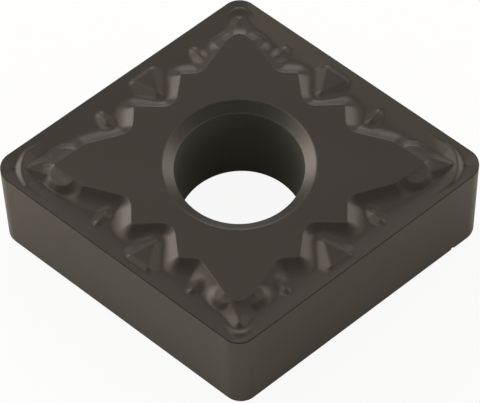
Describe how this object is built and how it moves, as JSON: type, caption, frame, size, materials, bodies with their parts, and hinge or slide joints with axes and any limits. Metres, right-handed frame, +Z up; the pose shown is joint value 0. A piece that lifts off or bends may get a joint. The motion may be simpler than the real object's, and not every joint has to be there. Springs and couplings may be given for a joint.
{
  "type": "carbide insert",
  "caption": "Rhombic indexable cutting insert with rounded noses, a moulded chipbreaker groove round a star-shaped seat on each face, and a central clamping hole.",
  "frame": {"origin": "centre of the lower seat, on the axis of the clamping hole", "axes": "+Z up along the clamping hole, +X along the long diagonal through the acute noses, +Y along the short diagonal"},
  "size_m": [0.0188, 0.016, 0.0049],
  "materials": {
    "coated_carbide": "satin dark coating with a fine moulded grain"
  },
  "bodies": {
    "root": {"insert_body": "coated_carbide"}
  },
  "joints": []
}
